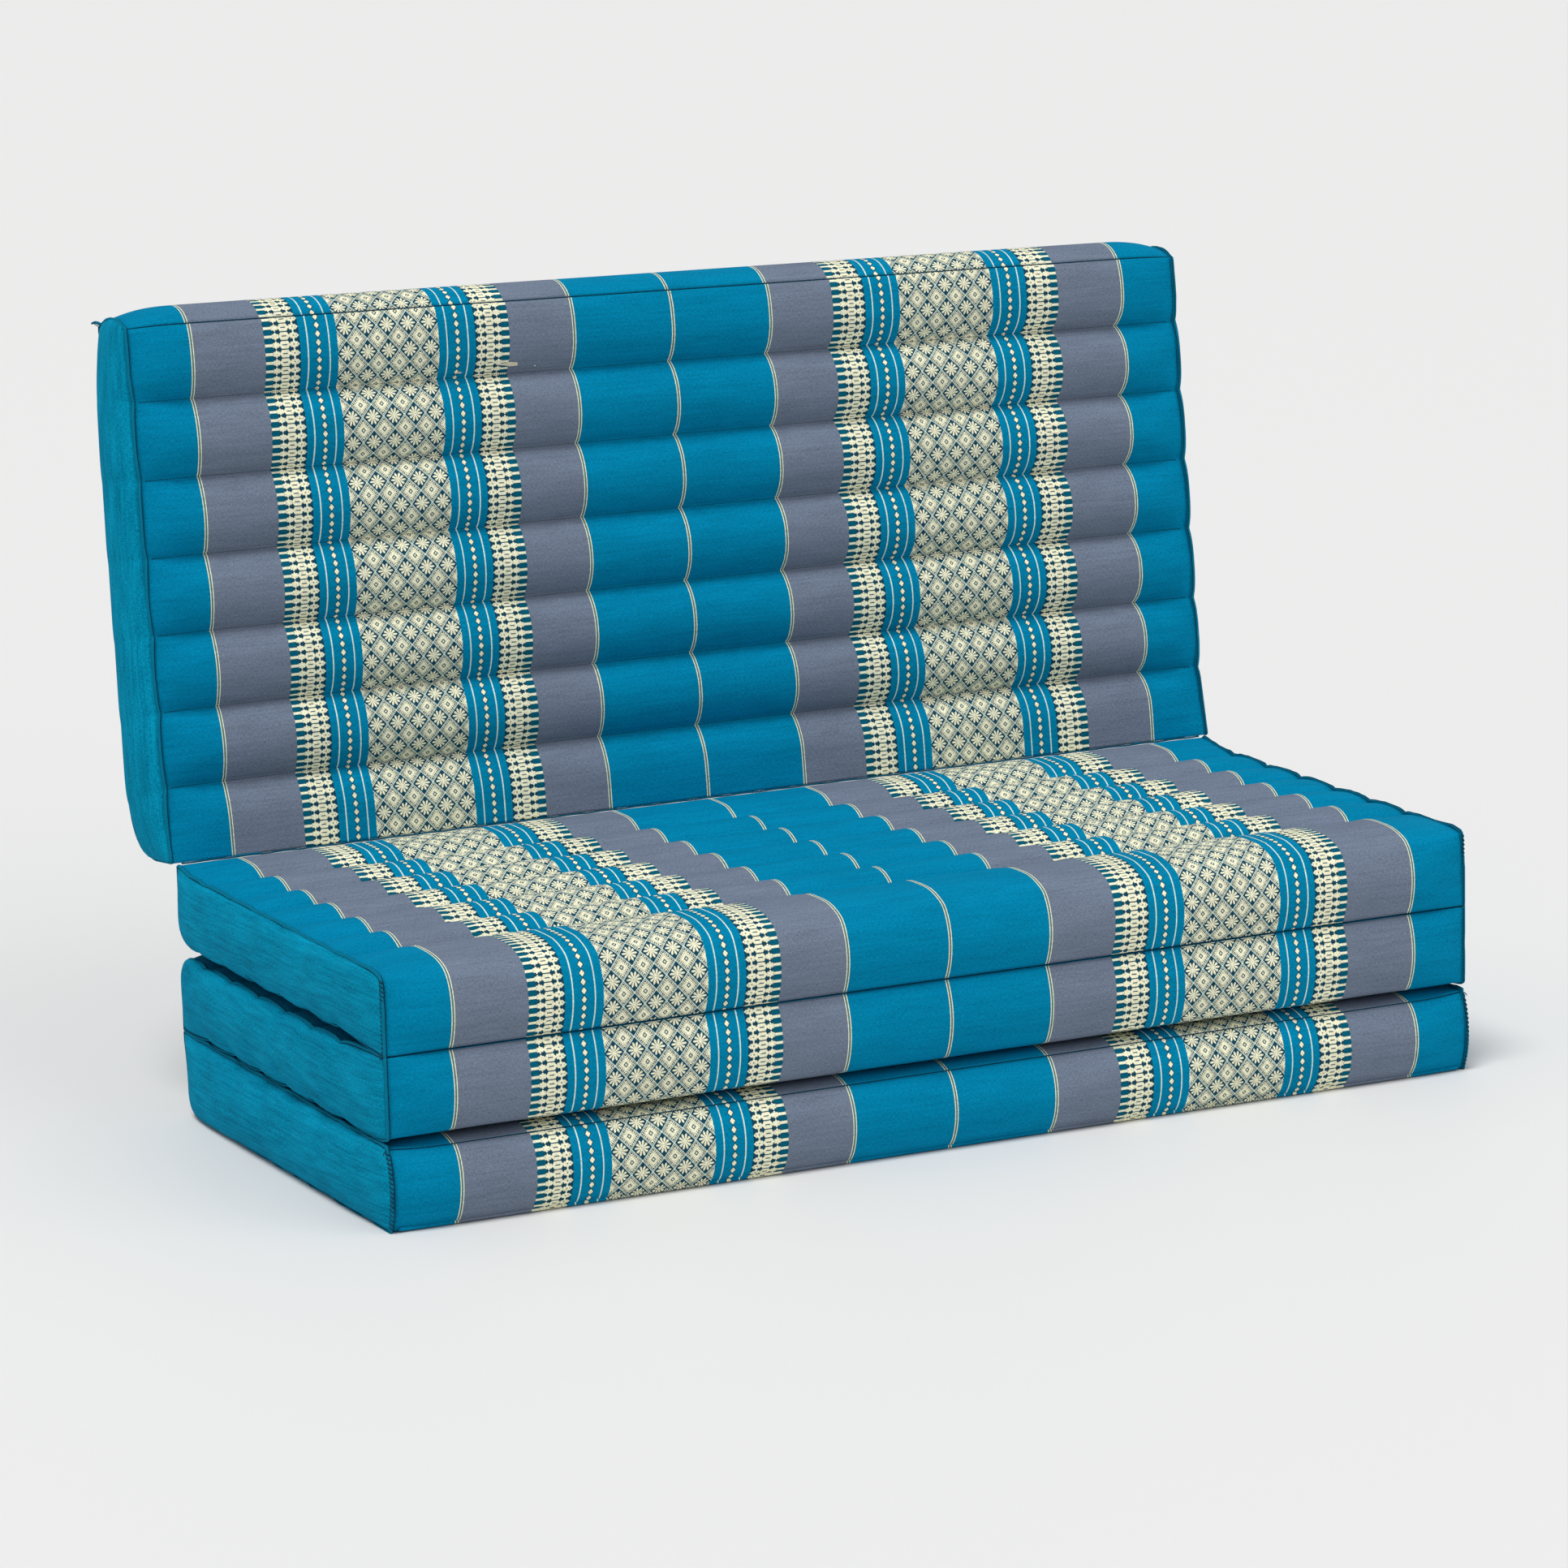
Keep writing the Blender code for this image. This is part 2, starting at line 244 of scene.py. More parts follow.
class Casing:
    """The points of one panel's closed form, and where each of its sewn pieces lies on it."""

    def __init__(self, name, seed):
        self.name = name
        middle, side = casing_section(name)
        self.rows = len(middle)
        self.columns = 2 * round(HALF_WIDTH / COLUMN) + 1
        chance = np.random.default_rng(seed)
        x = np.linspace(-1, 1, self.columns)
        inward = (1 - np.abs(x)) * HALF_WIDTH / MARGIN
        full = (1 - (1 - np.clip(inward, 0, 1)) ** FULL_POWER)[None, :, None]
        section = side[:, None] * (1 - full) + middle[:, None] * full
        stitched = np.zeros(self.rows)
        stitched[np.arange(1, CHANNELS) * STEPS] = 1
        pull = np.convolve(np.tile(stitched, 3), np.exp(-np.linspace(-1.5, 1.5, 9) ** 2), "same")
        pull = pull[self.rows : 2 * self.rows]
        if name == "backrest":
            pull[CHANNELS * STEPS + END_STEPS :] *= BACK_PULL
        width = HALF_WIDTH - SIDE_TUCK * pull
        self.points = np.empty((self.rows, self.columns, 3))
        self.points[..., 0] = x[None] * width[:, None]
        self.points[..., 1:] = section
        if name == "backrest":
            rise = TOP_LEFT + (TOP_RIGHT - TOP_LEFT) * (x + 1) / 2
            self.points[..., 1] += rise * np.clip(section[..., 0] / LENGTH, 0, 1) ** 2
            self.points[..., 0] *= BACK_WIDER
        self.along = np.concatenate([[0], np.cumsum(np.linalg.norm(np.diff(middle, axis=0), axis=1))])
        self.index = np.arange(self.rows * self.columns).reshape(self.rows, self.columns)

        coordinates = [self.points.reshape(-1, 3)]
        self.caps = {}
        count = self.rows * self.columns
        n, m = CHANNELS * STEPS, END_STEPS
        for sign, column in ((-1, 0), (1, -1)):
            grid = cap_grid(self.points[:, column])
            over = np.linspace(0, 1, m + 1)[None]
            reach = np.linspace(-1, 1, n + 1)[:, None]
            waves = np.sin(np.linspace(0, 2 * math.pi * CHANNELS, n + 1) + chance.uniform(0, 6))
            waves = 1 + BULGE_WAVE * waves[:, None]
            bulge = BOXING_BULGE[name] + (LEFT_SAG.get(name, 0) if sign < 0 else 0)
            rounding = np.sin(math.pi * over) ** BULGE_POWER
            grid[..., 0] += sign * bulge * rounding * (1 - np.abs(reach) ** BULGE_REACH) * waves
            index = np.full((n + 1, m + 1), -1)
            index[:, 0] = self.index[: n + 1, column]
            index[n, :] = self.index[n : n + m + 1, column]
            index[:, m] = self.index[n + m : 2 * n + m + 1, column][::-1]
            index[0, :] = np.append(self.index[2 * n + m :, column], self.index[0, column])[::-1]
            free = index < 0
            index[free] = count + np.arange(free.sum())
            count += free.sum()
            coordinates.append(grid[free])
            self.caps[sign] = index
        self.flat = np.concatenate(coordinates)
        self.pinned = np.zeros(count, bool)
        self.pinned[self.index[[i * STEPS for i in range(CHANNELS)] + [n, n + m]].ravel()] = True
        self.pinned[self.index[[n + m + i * STEPS for i in range(CHANNELS + 1)]].ravel()] = True
        self.pinned[self.index[:, [0, -1]].ravel()] = True
        if name == "base":
            self.pinned[self.index[n + m : 2 * n + m].ravel()] = True
        self.pucker(chance)

    def pucker(self, chance):
        """Short gathers across the stitching, and a slight unevenness of the fill."""
        across = self.points[..., 0]
        stitched = np.array([i * STEPS for i in range(1, CHANNELS)] + [self.rows])
        away = np.abs(np.arange(CHANNELS * STEPS)[:, None] - stitched[None])
        nearest, away = away.argmin(axis=1), away.min(axis=1)
        phase = chance.uniform(0, 6.3, (CHANNELS, 4))[nearest][:, :, None]
        size = 2 * math.pi / np.array(GATHERS)[None, :, None]
        gather = np.sin(across[: CHANNELS * STEPS, None, :] * size + phase).sum(axis=1)
        strength = (away > 0) * np.exp(-(((away - 1.5) / 2.2) ** 2))
        lift = PUCKER * gather * strength[:, None]
        uneven = chance.uniform(0, 6.3, (CHANNELS + 1, 3))
        uneven = uneven[np.arange(CHANNELS * STEPS) // STEPS][:, :, None]
        slow = 2 * math.pi / np.array(UNEVEN_WAVES)[None, :, None]
        full = np.sin(math.pi * (np.arange(CHANNELS * STEPS) % STEPS) / STEPS)[:, None]
        lift -= UNEVEN * full * (1 + np.sin(across[: CHANNELS * STEPS, None, :] * slow + uneven).mean(axis=1))
        inside = self.index[: CHANNELS * STEPS, 1:-1]
        self.flat[inside, 2] += lift[:, 1:-1]

    def faces(self):
        """All the faces of the closed form."""
        around = np.concatenate([self.index, self.index[:1]])
        return np.concatenate([grid_faces(grid).reshape(-1, 4) for grid in (around, *self.caps.values())])

    def swell(self):
        """Blows the form up as cloth that is held at its stitching, and caps how far it may move."""
        mesh = bpy.data.meshes.new("swelling")
        mesh.from_pydata(self.flat.tolist(), [], self.faces().tolist())
        turn_outwards(mesh)
        obj = scene_object("swelling", mesh)
        held = obj.vertex_groups.new(name="held")
        held.add(np.flatnonzero(self.pinned).tolist(), 1.0, "REPLACE")
        cloth = obj.modifiers.new("cloth", "CLOTH")
        cloth.settings.vertex_group_mass = "held"
        cloth.settings.quality = 5
        cloth.settings.mass = 0.3
        cloth.settings.use_pressure = True
        cloth.settings.uniform_pressure_force = SWELL_PRESSURE
        cloth.settings.tension_stiffness = 15
        cloth.settings.bending_stiffness = 2.0
        cloth.settings.effector_weights.gravity = 0
        cloth.point_cache.frame_end = SWELL_FRAMES
        for number in range(1, SWELL_FRAMES + 1):
            bpy.context.scene.frame_set(number)
        swollen = obj.evaluated_get(bpy.context.evaluated_depsgraph_get()).to_mesh()
        moved = np.empty(len(self.flat) * 3)
        swollen.vertices.foreach_get("co", moved)
        moved = moved.reshape(-1, 3) - self.flat
        bpy.data.objects.remove(obj)
        bpy.data.meshes.remove(mesh)
        bpy.context.scene.frame_set(1)
        far = np.linalg.norm(moved, axis=1, keepdims=True)
        self.flat += moved * np.minimum(1, SWELL_LIMIT / np.maximum(far, 1e-9))

    def settle(self):
        """Presses the form flat, softly, where the next panel or the floor lies against it."""
        self.flat[:, 1] += SOFT_END * np.logaddexp(0, (CLEAR / 2 - self.flat[:, 1]) / SOFT_END)
        if self.name in WRAPPED:
            for index in self.caps.values():
                self.flat[index, 1] = np.minimum(self.flat[index, 1], LENGTH - 2 * CLEAR)
        for sign, limit in ((1, CROWN), (-1, UNDER)):
            past = sign * (self.flat[:, 2] - limit)
            self.flat[:, 2] -= sign * SOFT_FACE * np.logaddexp(0, past / SOFT_FACE)
        self.points = self.flat[self.index]


casings = {}
for seed, name in enumerate(PANELS):
    casing = Casing(name, seed)
    casing.swell()
    casing.settle()
    casings[name] = casing


def cloth_piece(name, body, points, turned, across, along, thickness):
    """One sewn piece of cloth: a grid of points, its place across and along the cloth, and a thickness."""
    rows, columns = points.shape[:2]
    quads = grid_faces(np.arange(rows * columns).reshape(rows, columns)).reshape(-1, 4)
    if turned:
        quads = quads[:, ::-1]
    mesh = bpy.data.meshes.new(name)
    mesh.from_pydata(points.reshape(-1, 3).tolist(), [], quads.tolist())
    layer = mesh.uv_layers.new(name="cloth")
    coordinates = np.stack(np.broadcast_arrays(across, along), axis=-1)
    layer.data.foreach_set("uv", coordinates.reshape(-1, 2)[quads.ravel()].ravel())
    mesh.transform(PANELS[body])
    mesh.shade_smooth()
    obj = scene_object(name, mesh)
    wall = obj.modifiers.new("thickness", "SOLIDIFY")
    wall.thickness = thickness
    wall.offset = -1
    return obj


# ------------------------------------------------------------------ patterned top covers
# The good side of each panel is handwoven cotton with a supplementary weft: stripes of blue and
# grey, double cream lines, and two figured bands. It runs the length of the mattress, and on the
# middle and the seat it carries on over the rounded front.

CLOTH = 0.0010
BLUE = (0.0000, 0.2060, 0.3740)
GREY = (0.1560, 0.1940, 0.2620)
CREAM = (0.8700, 0.8600, 0.6300)
PALE = (0.6600, 0.8000, 0.7000)
DARK = (0.0080, 0.0560, 0.0940)
TEAL = (0.0020, 0.1000, 0.1640)
BROWN = (0.1500, 0.0850, 0.0550)
EDGE_LINES = (0.0, 0.1035, 0.489)
GREY_STRIPES = ((0.1035, 0.171), (0.4165, 0.489))
FIGURED_MIDDLE = 0.2938
BROCADE_HALF = 0.0510
BORDER_END = 0.0885
TEETH_END = 0.1228
YARN = 0.00044
TOOTH_ROW = 18 * YARN
FLOWER_ACROSS, FLOWER_ALONG = 48 * YARN, 54 * YARN
LINE_GAP = (0.10, 0.20, 0.20)


class Value:
    """One number in a node tree, so that a woven figure can be written as plain arithmetic."""

    def __init__(self, tree, socket):
        self.tree = tree
        self.socket = socket

    def math(self, operation, *others, clamp=False):
        node = self.tree.nodes.new("ShaderNodeMath")
        node.operation = operation
        node.use_clamp = clamp
        for slot, item in zip(node.inputs, (self, *others)):
            if isinstance(item, Value):
                self.tree.links.new(item.socket, slot)
            else:
                slot.default_value = item
        return Value(self.tree, node.outputs[0])

    def __add__(self, other):
        return self.math("ADD", other)

    def __sub__(self, other):
        return self.math("SUBTRACT", other)

    def __mul__(self, other):
        return self.math("MULTIPLY", other)

    def __truediv__(self, other):
        return self.math("DIVIDE", other)

    def __abs__(self):
        return self.math("ABSOLUTE")

    def below(self, edge, soft=0.0003):
        """1 where the value is under the edge, fading to 0 over a short stretch."""
        if isinstance(edge, Value):
            return ((edge - self) / soft).math("ADD", 0.5, clamp=True)
        return self.math("MULTIPLY_ADD", -1 / soft, edge / soft + 0.5, clamp=True)

    def near(self, place, half, soft=0.0003):
        """1 within a half width of a place."""
        return abs(self - place).below(half, soft)

    def off_row(self, pitch):
        """How far the value is from the middle of its row, in rows of a pitch."""
        return abs((self / pitch).math("FRACT") - 0.5) * pitch

    def flip(self):
        return self.math("MULTIPLY_ADD", -1.0, 1.0)

    def either(self, other):
        return self.math("MAXIMUM", other)

    def both(self, other):
        return self.math("MULTIPLY", other)


def new_group(name, inputs, outputs):
    """A shader node group with named sockets, and its input and output nodes."""
    tree = bpy.data.node_groups.new(name, "ShaderNodeTree")
    for label, kind in inputs:
        tree.interface.new_socket(label, in_out="INPUT", socket_type=kind)
    for label, kind in outputs:
        tree.interface.new_socket(label, in_out="OUTPUT", socket_type=kind)
    return tree, tree.nodes.new("NodeGroupInput"), tree.nodes.new("NodeGroupOutput")


def mixed(tree, share, first, second):
    """The colour socket of a mix. Each of first and second is a colour or a socket."""
    node = tree.nodes.new("ShaderNodeMix")
    node.data_type = "RGBA"
    tree.links.new(share.socket if isinstance(share, Value) else share, node.inputs[0])
    for slot, item in ((node.inputs[6], first), (node.inputs[7], second)):
        if isinstance(item, tuple):
            slot.default_value = (*item, 1)
        else:
            tree.links.new(item, slot)
    return node.outputs[2]


def woven_figures():
    """The woven design: the colour and how far the extra weft stands up, for a place in metres."""
    results = [("Colour", "NodeSocketColor"), ("Raised", "NodeSocketFloat")]
    tree, source, target = new_group("woven_figures", [("Place", "NodeSocketVector")], results)
    parts = tree.nodes.new("ShaderNodeSeparateXYZ")
    tree.links.new(source.outputs["Place"], parts.inputs[0])
    across = abs(Value(tree, parts.outputs[0]))
    along = Value(tree, parts.outputs[1]).math("SNAP", YARN) + YARN / 2
    signed = (across - FIGURED_MIDDLE).math("SNAP", YARN) + YARN / 2
    out = abs(signed)
    row = along.off_row(TOOTH_ROW)

    stripes = [across.near((start + end) / 2, (end - start) / 2) for start, end in GREY_STRIPES]
    grey = stripes[0].either(stripes[1])

    # Two cream threads with a gap of blue-green between.
    line = across
    for place in EDGE_LINES[1:]:
        line = line.math("MINIMUM", abs(across - place))
    line_cream = line.near(0.00130, 0.00042)
    line_gap = line.below(0.00105)

    # The teeth: on each row a point, a big knot, a slit lozenge, a small knot and a bar.
    tooth = out - BORDER_END
    teeth_ground = (out - row * 0.45).below(TEETH_END - 0.0006).both(tooth.below(0.0).flip())
    point = row.below(tooth * 0.9).both(tooth.near(0.0012, 0.0012))

    def knot(place, radius):
        away = tooth - place
        far = (away * away + row * row).math("SQRT")
        lobes = (away.math("ARCTAN2", row) * 6).math("COSINE")
        lobes = lobes.math("MULTIPLY_ADD", radius * 0.17, radius * 0.87)
        return far.below(lobes).both(far.below(radius * 0.17).flip())

    lozenge_out = abs(tooth - 0.0150)
    lozenge = row.below(lozenge_out.math("MULTIPLY_ADD", -1.5, 0.0084).math("MINIMUM", 0.0034))
    slit = row.below(0.00055).both(lozenge_out.below(0.0024))
    link = row.below(0.0011).both(tooth.near(0.0165, 0.0090))
    bar = row.below(0.0012).both(tooth.near(0.0306, 0.0040))
    teeth = point.either(knot(0.0057, 0.0039)).either(lozenge.either(link).both(slit.flip()))
    teeth = teeth.either(knot(0.0238, 0.0034)).both(teeth_ground).either(bar)

    # The blue border: a pale line, a chain of small diamonds, and another line.
    border = out - BROCADE_HALF
    border_line = border.near(0.0083, 0.00060).either(border.near(0.0297, 0.00060))
    diamond = abs(border - 0.0190) / 0.0025 + row / 0.0032
    bead = diamond.below(1.0, 0.12)
    bead_dark = diamond.below(1.4, 0.2).either(border.near(0.0190, 0.0008).both(row.below(0.0034).flip()))
    bead_heart = diamond.below(0.10, 0.10)

    # The figured middle: flowers on dark diamonds, nested diamonds between them, and a pale lattice.
    brocade = out.below(BROCADE_HALF)
    p = abs((signed / FLOWER_ACROSS + 0.5).math("FRACT") - 0.5)
    q = abs((along / FLOWER_ALONG + 0.5).math("FRACT") - 0.5)
    spread = p + q
    p_metres, q_metres = p * FLOWER_ACROSS, q * FLOWER_ALONG
    turn = q_metres.math("ARCTAN2", p_metres)
    reach = (p_metres * p_metres + q_metres * q_metres).math("SQRT")
    lobes = (turn * 10).math("COSINE")
    tips = reach.below(lobes.math("MULTIPLY_ADD", 0.0012, 0.0062))
    petals = reach.math("MULTIPLY_ADD", 125.0, -1.08).below(lobes, 0.5)
    petals = petals.both(tips).both(spread.below(0.40, 0.03))
    nested = spread.flip()
    rings = nested.near(0.190, 0.078, 0.02).either(nested.below(0.055, 0.02))
    edge_place = ((p - q + 0.5) / 0.125).math("FRACT")
    inner_row = edge_place.below(nested.math("MULTIPLY_ADD", -10.0, 4.05), 0.25)
    inner_row = nested.near(0.325, 0.042, 0.01).both(inner_row)
    outer_row = edge_place.below(nested.math("MULTIPLY_ADD", 10.0, -3.55), 0.25)
    outer_row = nested.near(0.412, 0.034, 0.01).both(outer_row)
    lattice = spread.near(0.5, 0.027, 0.012).both(brocade)
    woven = petals.either(rings).either(inner_row).either(outer_row).both(brocade)

    beads = out.near(0.0700, 0.0180)
    ground = mixed(tree, tooth.below(0.0265, 0.002), TEAL, DARK)
    colour = mixed(tree, grey, BLUE, GREY)
    colour = mixed(tree, teeth_ground, colour, ground)
    colour = mixed(tree, brocade.either(bead_dark.both(beads)), colour, DARK)
    colour = mixed(tree, line_gap, colour, LINE_GAP)
    raised = teeth.either(woven).either(bead.both(beads)).either(line_cream)
    colour = mixed(tree, raised, colour, CREAM)
    colour = mixed(tree, bead_heart.both(beads), colour, BROWN)
    pale = lattice.either(border_line)
    colour = mixed(tree, pale, colour, PALE)
    tree.links.new(colour, target.inputs["Colour"])
    tree.links.new(raised.either(pale).socket, target.inputs["Raised"])
    return tree


def plain_weave():
    """A plain weave of uneven cotton yarn: a height, and a mottled share for the colour."""
    inputs = [("Place", "NodeSocketVector")]
    inputs += [(label, "NodeSocketFloat") for label in ("Threads per metre", "Slub", "Wear")]
    results = [(label, "NodeSocketFloat") for label in ("Height", "Mottle")]
    tree, source, target = new_group("plain_weave", inputs, results)
    parts = tree.nodes.new("ShaderNodeSeparateXYZ")
    tree.links.new(source.outputs["Place"], parts.inputs[0])
    threads = Value(tree, source.outputs["Threads per metre"])
    slub = Value(tree, source.outputs["Slub"])
    wear = Value(tree, source.outputs["Wear"])
    u = Value(tree, parts.outputs[0]) * threads * math.pi
    v = Value(tree, parts.outputs[1]) * threads * math.pi
    ribs = abs(u.math("SINE") * v.math("SINE"))

    def yarn(stretch, seed):
        """Noise drawn out along the threads of one direction."""
        stretched = tree.nodes.new("ShaderNodeVectorMath")
        stretched.operation = "MULTIPLY_ADD"
        tree.links.new(source.outputs["Place"], stretched.inputs[0])
        stretched.inputs[1].default_value = stretch
        stretched.inputs[2].default_value = (seed, seed, 0)
        noise = tree.nodes.new("ShaderNodeTexNoise")
        noise.inputs["Scale"].default_value = 1
        noise.inputs["Detail"].default_value = 2
        tree.links.new(stretched.outputs[0], noise.inputs["Vector"])
        return Value(tree, noise.outputs["Fac"])

    warp = yarn((1500, 330, 1), 3.7)
    weft = yarn((300, 1500, 1), 9.2)
    faded = yarn((9, 34, 1), 1.3) + yarn((28, 110, 1), 6.4) - 1
    mottle = (warp + weft - 1) * 1.3 + faded * wear + (yarn((16, 420, 1), 5.1) - 0.5) * slub
    tree.links.new((ribs + (warp + weft) * 0.7).socket, target.inputs["Height"])
    tree.links.new((mottle + 0.5).math("ADD", 0.0, clamp=True).socket, target.inputs["Mottle"])
    return tree


WEAVE = plain_weave()


def cloth_material(name, roughness, threads, slub, wear, bump, low, high, figures=None, tints=None):
    """Cotton cloth that reads its own UV map.

    With woven figures, low and high scale their colours from gap to thread. A plain cloth has tints.
    """
    made = bpy.data.materials.new(name)
    made.use_nodes = True
    tree = made.node_tree
    shader = tree.nodes["Principled BSDF"]
    place = tree.nodes.new("ShaderNodeUVMap")
    place.uv_map = "cloth"
    weave = tree.nodes.new("ShaderNodeGroup")
    weave.node_tree = WEAVE
    tree.links.new(place.outputs[0], weave.inputs["Place"])
    weave.inputs["Threads per metre"].default_value = threads
    weave.inputs["Slub"].default_value = slub
    weave.inputs["Wear"].default_value = wear
    mottle = weave.outputs["Mottle"]
    height = Value(tree, weave.outputs["Height"])
    if figures:
        design = tree.nodes.new("ShaderNodeGroup")
        design.node_tree = figures
        tree.links.new(place.outputs[0], design.inputs["Place"])
        shade = mixed(tree, mottle, (low, low, low), (high, high, high))
        product = tree.nodes.new("ShaderNodeMix")
        product.data_type = "RGBA"
        product.blend_type = "MULTIPLY"
        product.inputs[0].default_value = 1
        tree.links.new(design.outputs["Colour"], product.inputs[6])
        tree.links.new(shade, product.inputs[7])
        colour = product.outputs[2]
        height = height + Value(tree, design.outputs["Raised"]) * 1.6
    else:
        colour = mixed(tree, mottle, *tints)
    tree.links.new(colour, shader.inputs["Base Color"])
    relief = tree.nodes.new("ShaderNodeBump")
    relief.inputs["Strength"].default_value = 0.6
    relief.inputs["Distance"].default_value = bump
    tree.links.new(height.socket, relief.inputs["Height"])
    tree.links.new(relief.outputs[0], shader.inputs["Normal"])
    shader.inputs["Roughness"].default_value = roughness
    shader.inputs["Specular IOR Level"].default_value = 0.03
    return made


FIGURES = woven_figures()
patterned = cloth_material("patterned_cloth", 0.85, 900, 0.55, 0.35, 0.00030, 0.66, 1.34, figures=FIGURES)
for name, casing in casings.items():
    stop = CHANNELS * STEPS + (END_STEPS if name in WRAPPED else 0)
    points = casing.points[: stop + 1]
    across = np.linspace(-HALF_WIDTH, HALF_WIDTH, casing.columns)[None]
    along = casing.along[: stop + 1, None]
    cover = cloth_piece(f"{name}_patterned_cover", name, points, True, across, along, CLOTH)
    cover.data.materials.append(patterned)
    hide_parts(f"{name}_top_cover")
    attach(cover, name)

# ------------------------------------------------------------------ plain under covers
# The back of each panel is plain blue cotton, sewn through at the same rows of stitching. It runs
# up the panel's rear end to the fold, so the folded stack shows it there.

plain = cloth_material(
    "plain_cloth", 0.88, 900, 0.35, 0.40, 0.00030, 0, 0, tints=((0.0, 0.120, 0.225), (0.004, 0.235, 0.400))
)
for name, casing in casings.items():
    start = CHANNELS * STEPS + END_STEPS
    points = np.concatenate([casing.points[start:], casing.points[:1]])
    across = np.linspace(-HALF_WIDTH, HALF_WIDTH, casing.columns)[None]
    along = np.append(casing.along[start:], 2 * casing.along[-1] - casing.along[-2])[:, None]
    cover = cloth_piece(f"{name}_plain_cover", name, points, True, across, along, CLOTH)
    cover.data.materials.append(plain)
    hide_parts(f"{name}_under_cover")
    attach(cover, name)

# ------------------------------------------------------------------ side boxings
# A strip of coarse slubby blue cotton closes the channels at each side of a panel. The fill pushes
# it out, and its faded yarns run along the panel.

slubby = cloth_material(
    "boxing_cloth", 0.92, 620, 0.9, 0.60, 0.00045, 0, 0, tints=((0.0, 0.125, 0.225), (0.002, 0.350, 0.560))
)
NEXT_STRIP = 0.7  # the two strips of a panel are cut from different places on the cloth


def side_of(name, sign):
    """Left or right: the side of the mattress that one side seam of a panel lies on."""
    return "left" if (sign < 0) == (name in ("middle", "backrest")) else "right"


for name, casing in casings.items():
    for sign, index in casing.caps.items():
        side = side_of(name, sign)
        points = casing.flat[index]
        steps = np.linalg.norm(np.diff(points[:, END_STEPS // 2], axis=0), axis=1)
        across = np.concatenate([[0], np.cumsum(steps)])[:, None] + NEXT_STRIP * (sign + 1)
        along = np.linspace(0, DEPTH, END_STEPS + 1)[None] + casing.rows * 0.01
        boxing = cloth_piece(f"{name}_{side}_side_boxing", name, points, sign < 0, across, along, CLOTH)
        boxing.data.materials.append(slubby)
        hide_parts(f"{name}_{side}_boxing")
        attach(boxing, name)

# ------------------------------------------------------------------ end boxings
# The two free ends of the mattress, at the base's front and the backrest's top, are closed by
# strips of the patterned cloth with a seam along each edge. The pattern jumps a little at the seam.

SEAM_JUMP = (0.0015, 0.0034)
for name, where in (("base", "front"), ("backrest", "top")):
    casing = casings[name]
    start, stop = CHANNELS * STEPS, CHANNELS * STEPS + END_STEPS
    points = casing.points[start : stop + 1]
    across = np.linspace(-HALF_WIDTH, HALF_WIDTH, casing.columns)[None] + SEAM_JUMP[0]
    along = casing.along[start : stop + 1, None] + SEAM_JUMP[1]
    boxing = cloth_piece(f"{name}_{where}_end_boxing", name, points, True, across, along, CLOTH)
    boxing.data.materials.append(patterned)
    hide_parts(f"{name}_{where}_boxing")
    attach(boxing, name)

# ------------------------------------------------------------------ kapok rolls
# Every channel is packed with a roll of loose kapok, a silky cream fibre. The rolls are hidden in
# the casing, a little flatter towards their ends, and each keeps to its own channel.

ROLL_ROOM, ROLL_END = 0.0035, 0.012
ROLL_SQUARE = 0.72
ROLL_AROUND, ROLL_ALONG = 24, 36
kapok = bpy.data.materials.new("kapok_fill")
kapok.use_nodes = True
shader = kapok.node_tree.nodes["Principled BSDF"]
fibre_place = kapok.node_tree.nodes.new("ShaderNodeTexCoord")
fibre = kapok.node_tree.nodes.new("ShaderNodeTexNoise")
fibre.inputs["Scale"].default_value = 260
fibre.inputs["Detail"].default_value = 6
fibre.inputs["Distortion"].default_value = 1.5
kapok.node_tree.links.new(fibre_place.outputs["Object"], fibre.inputs["Vector"])
tone = mixed(kapok.node_tree, fibre.outputs["Fac"], (0.55, 0.46, 0.28), (0.86, 0.80, 0.62))
kapok.node_tree.links.new(tone, shader.inputs["Base Color"])
fluff = kapok.node_tree.nodes.new("ShaderNodeBump")
fluff.inputs["Distance"].default_value = 0.002
kapok.node_tree.links.new(fibre.outputs["Fac"], fluff.inputs["Height"])
kapok.node_tree.links.new(fluff.outputs[0], shader.inputs["Normal"])
shader.inputs["Roughness"].default_value = 0.95
shader.inputs["Sheen Weight"].default_value = 0.3

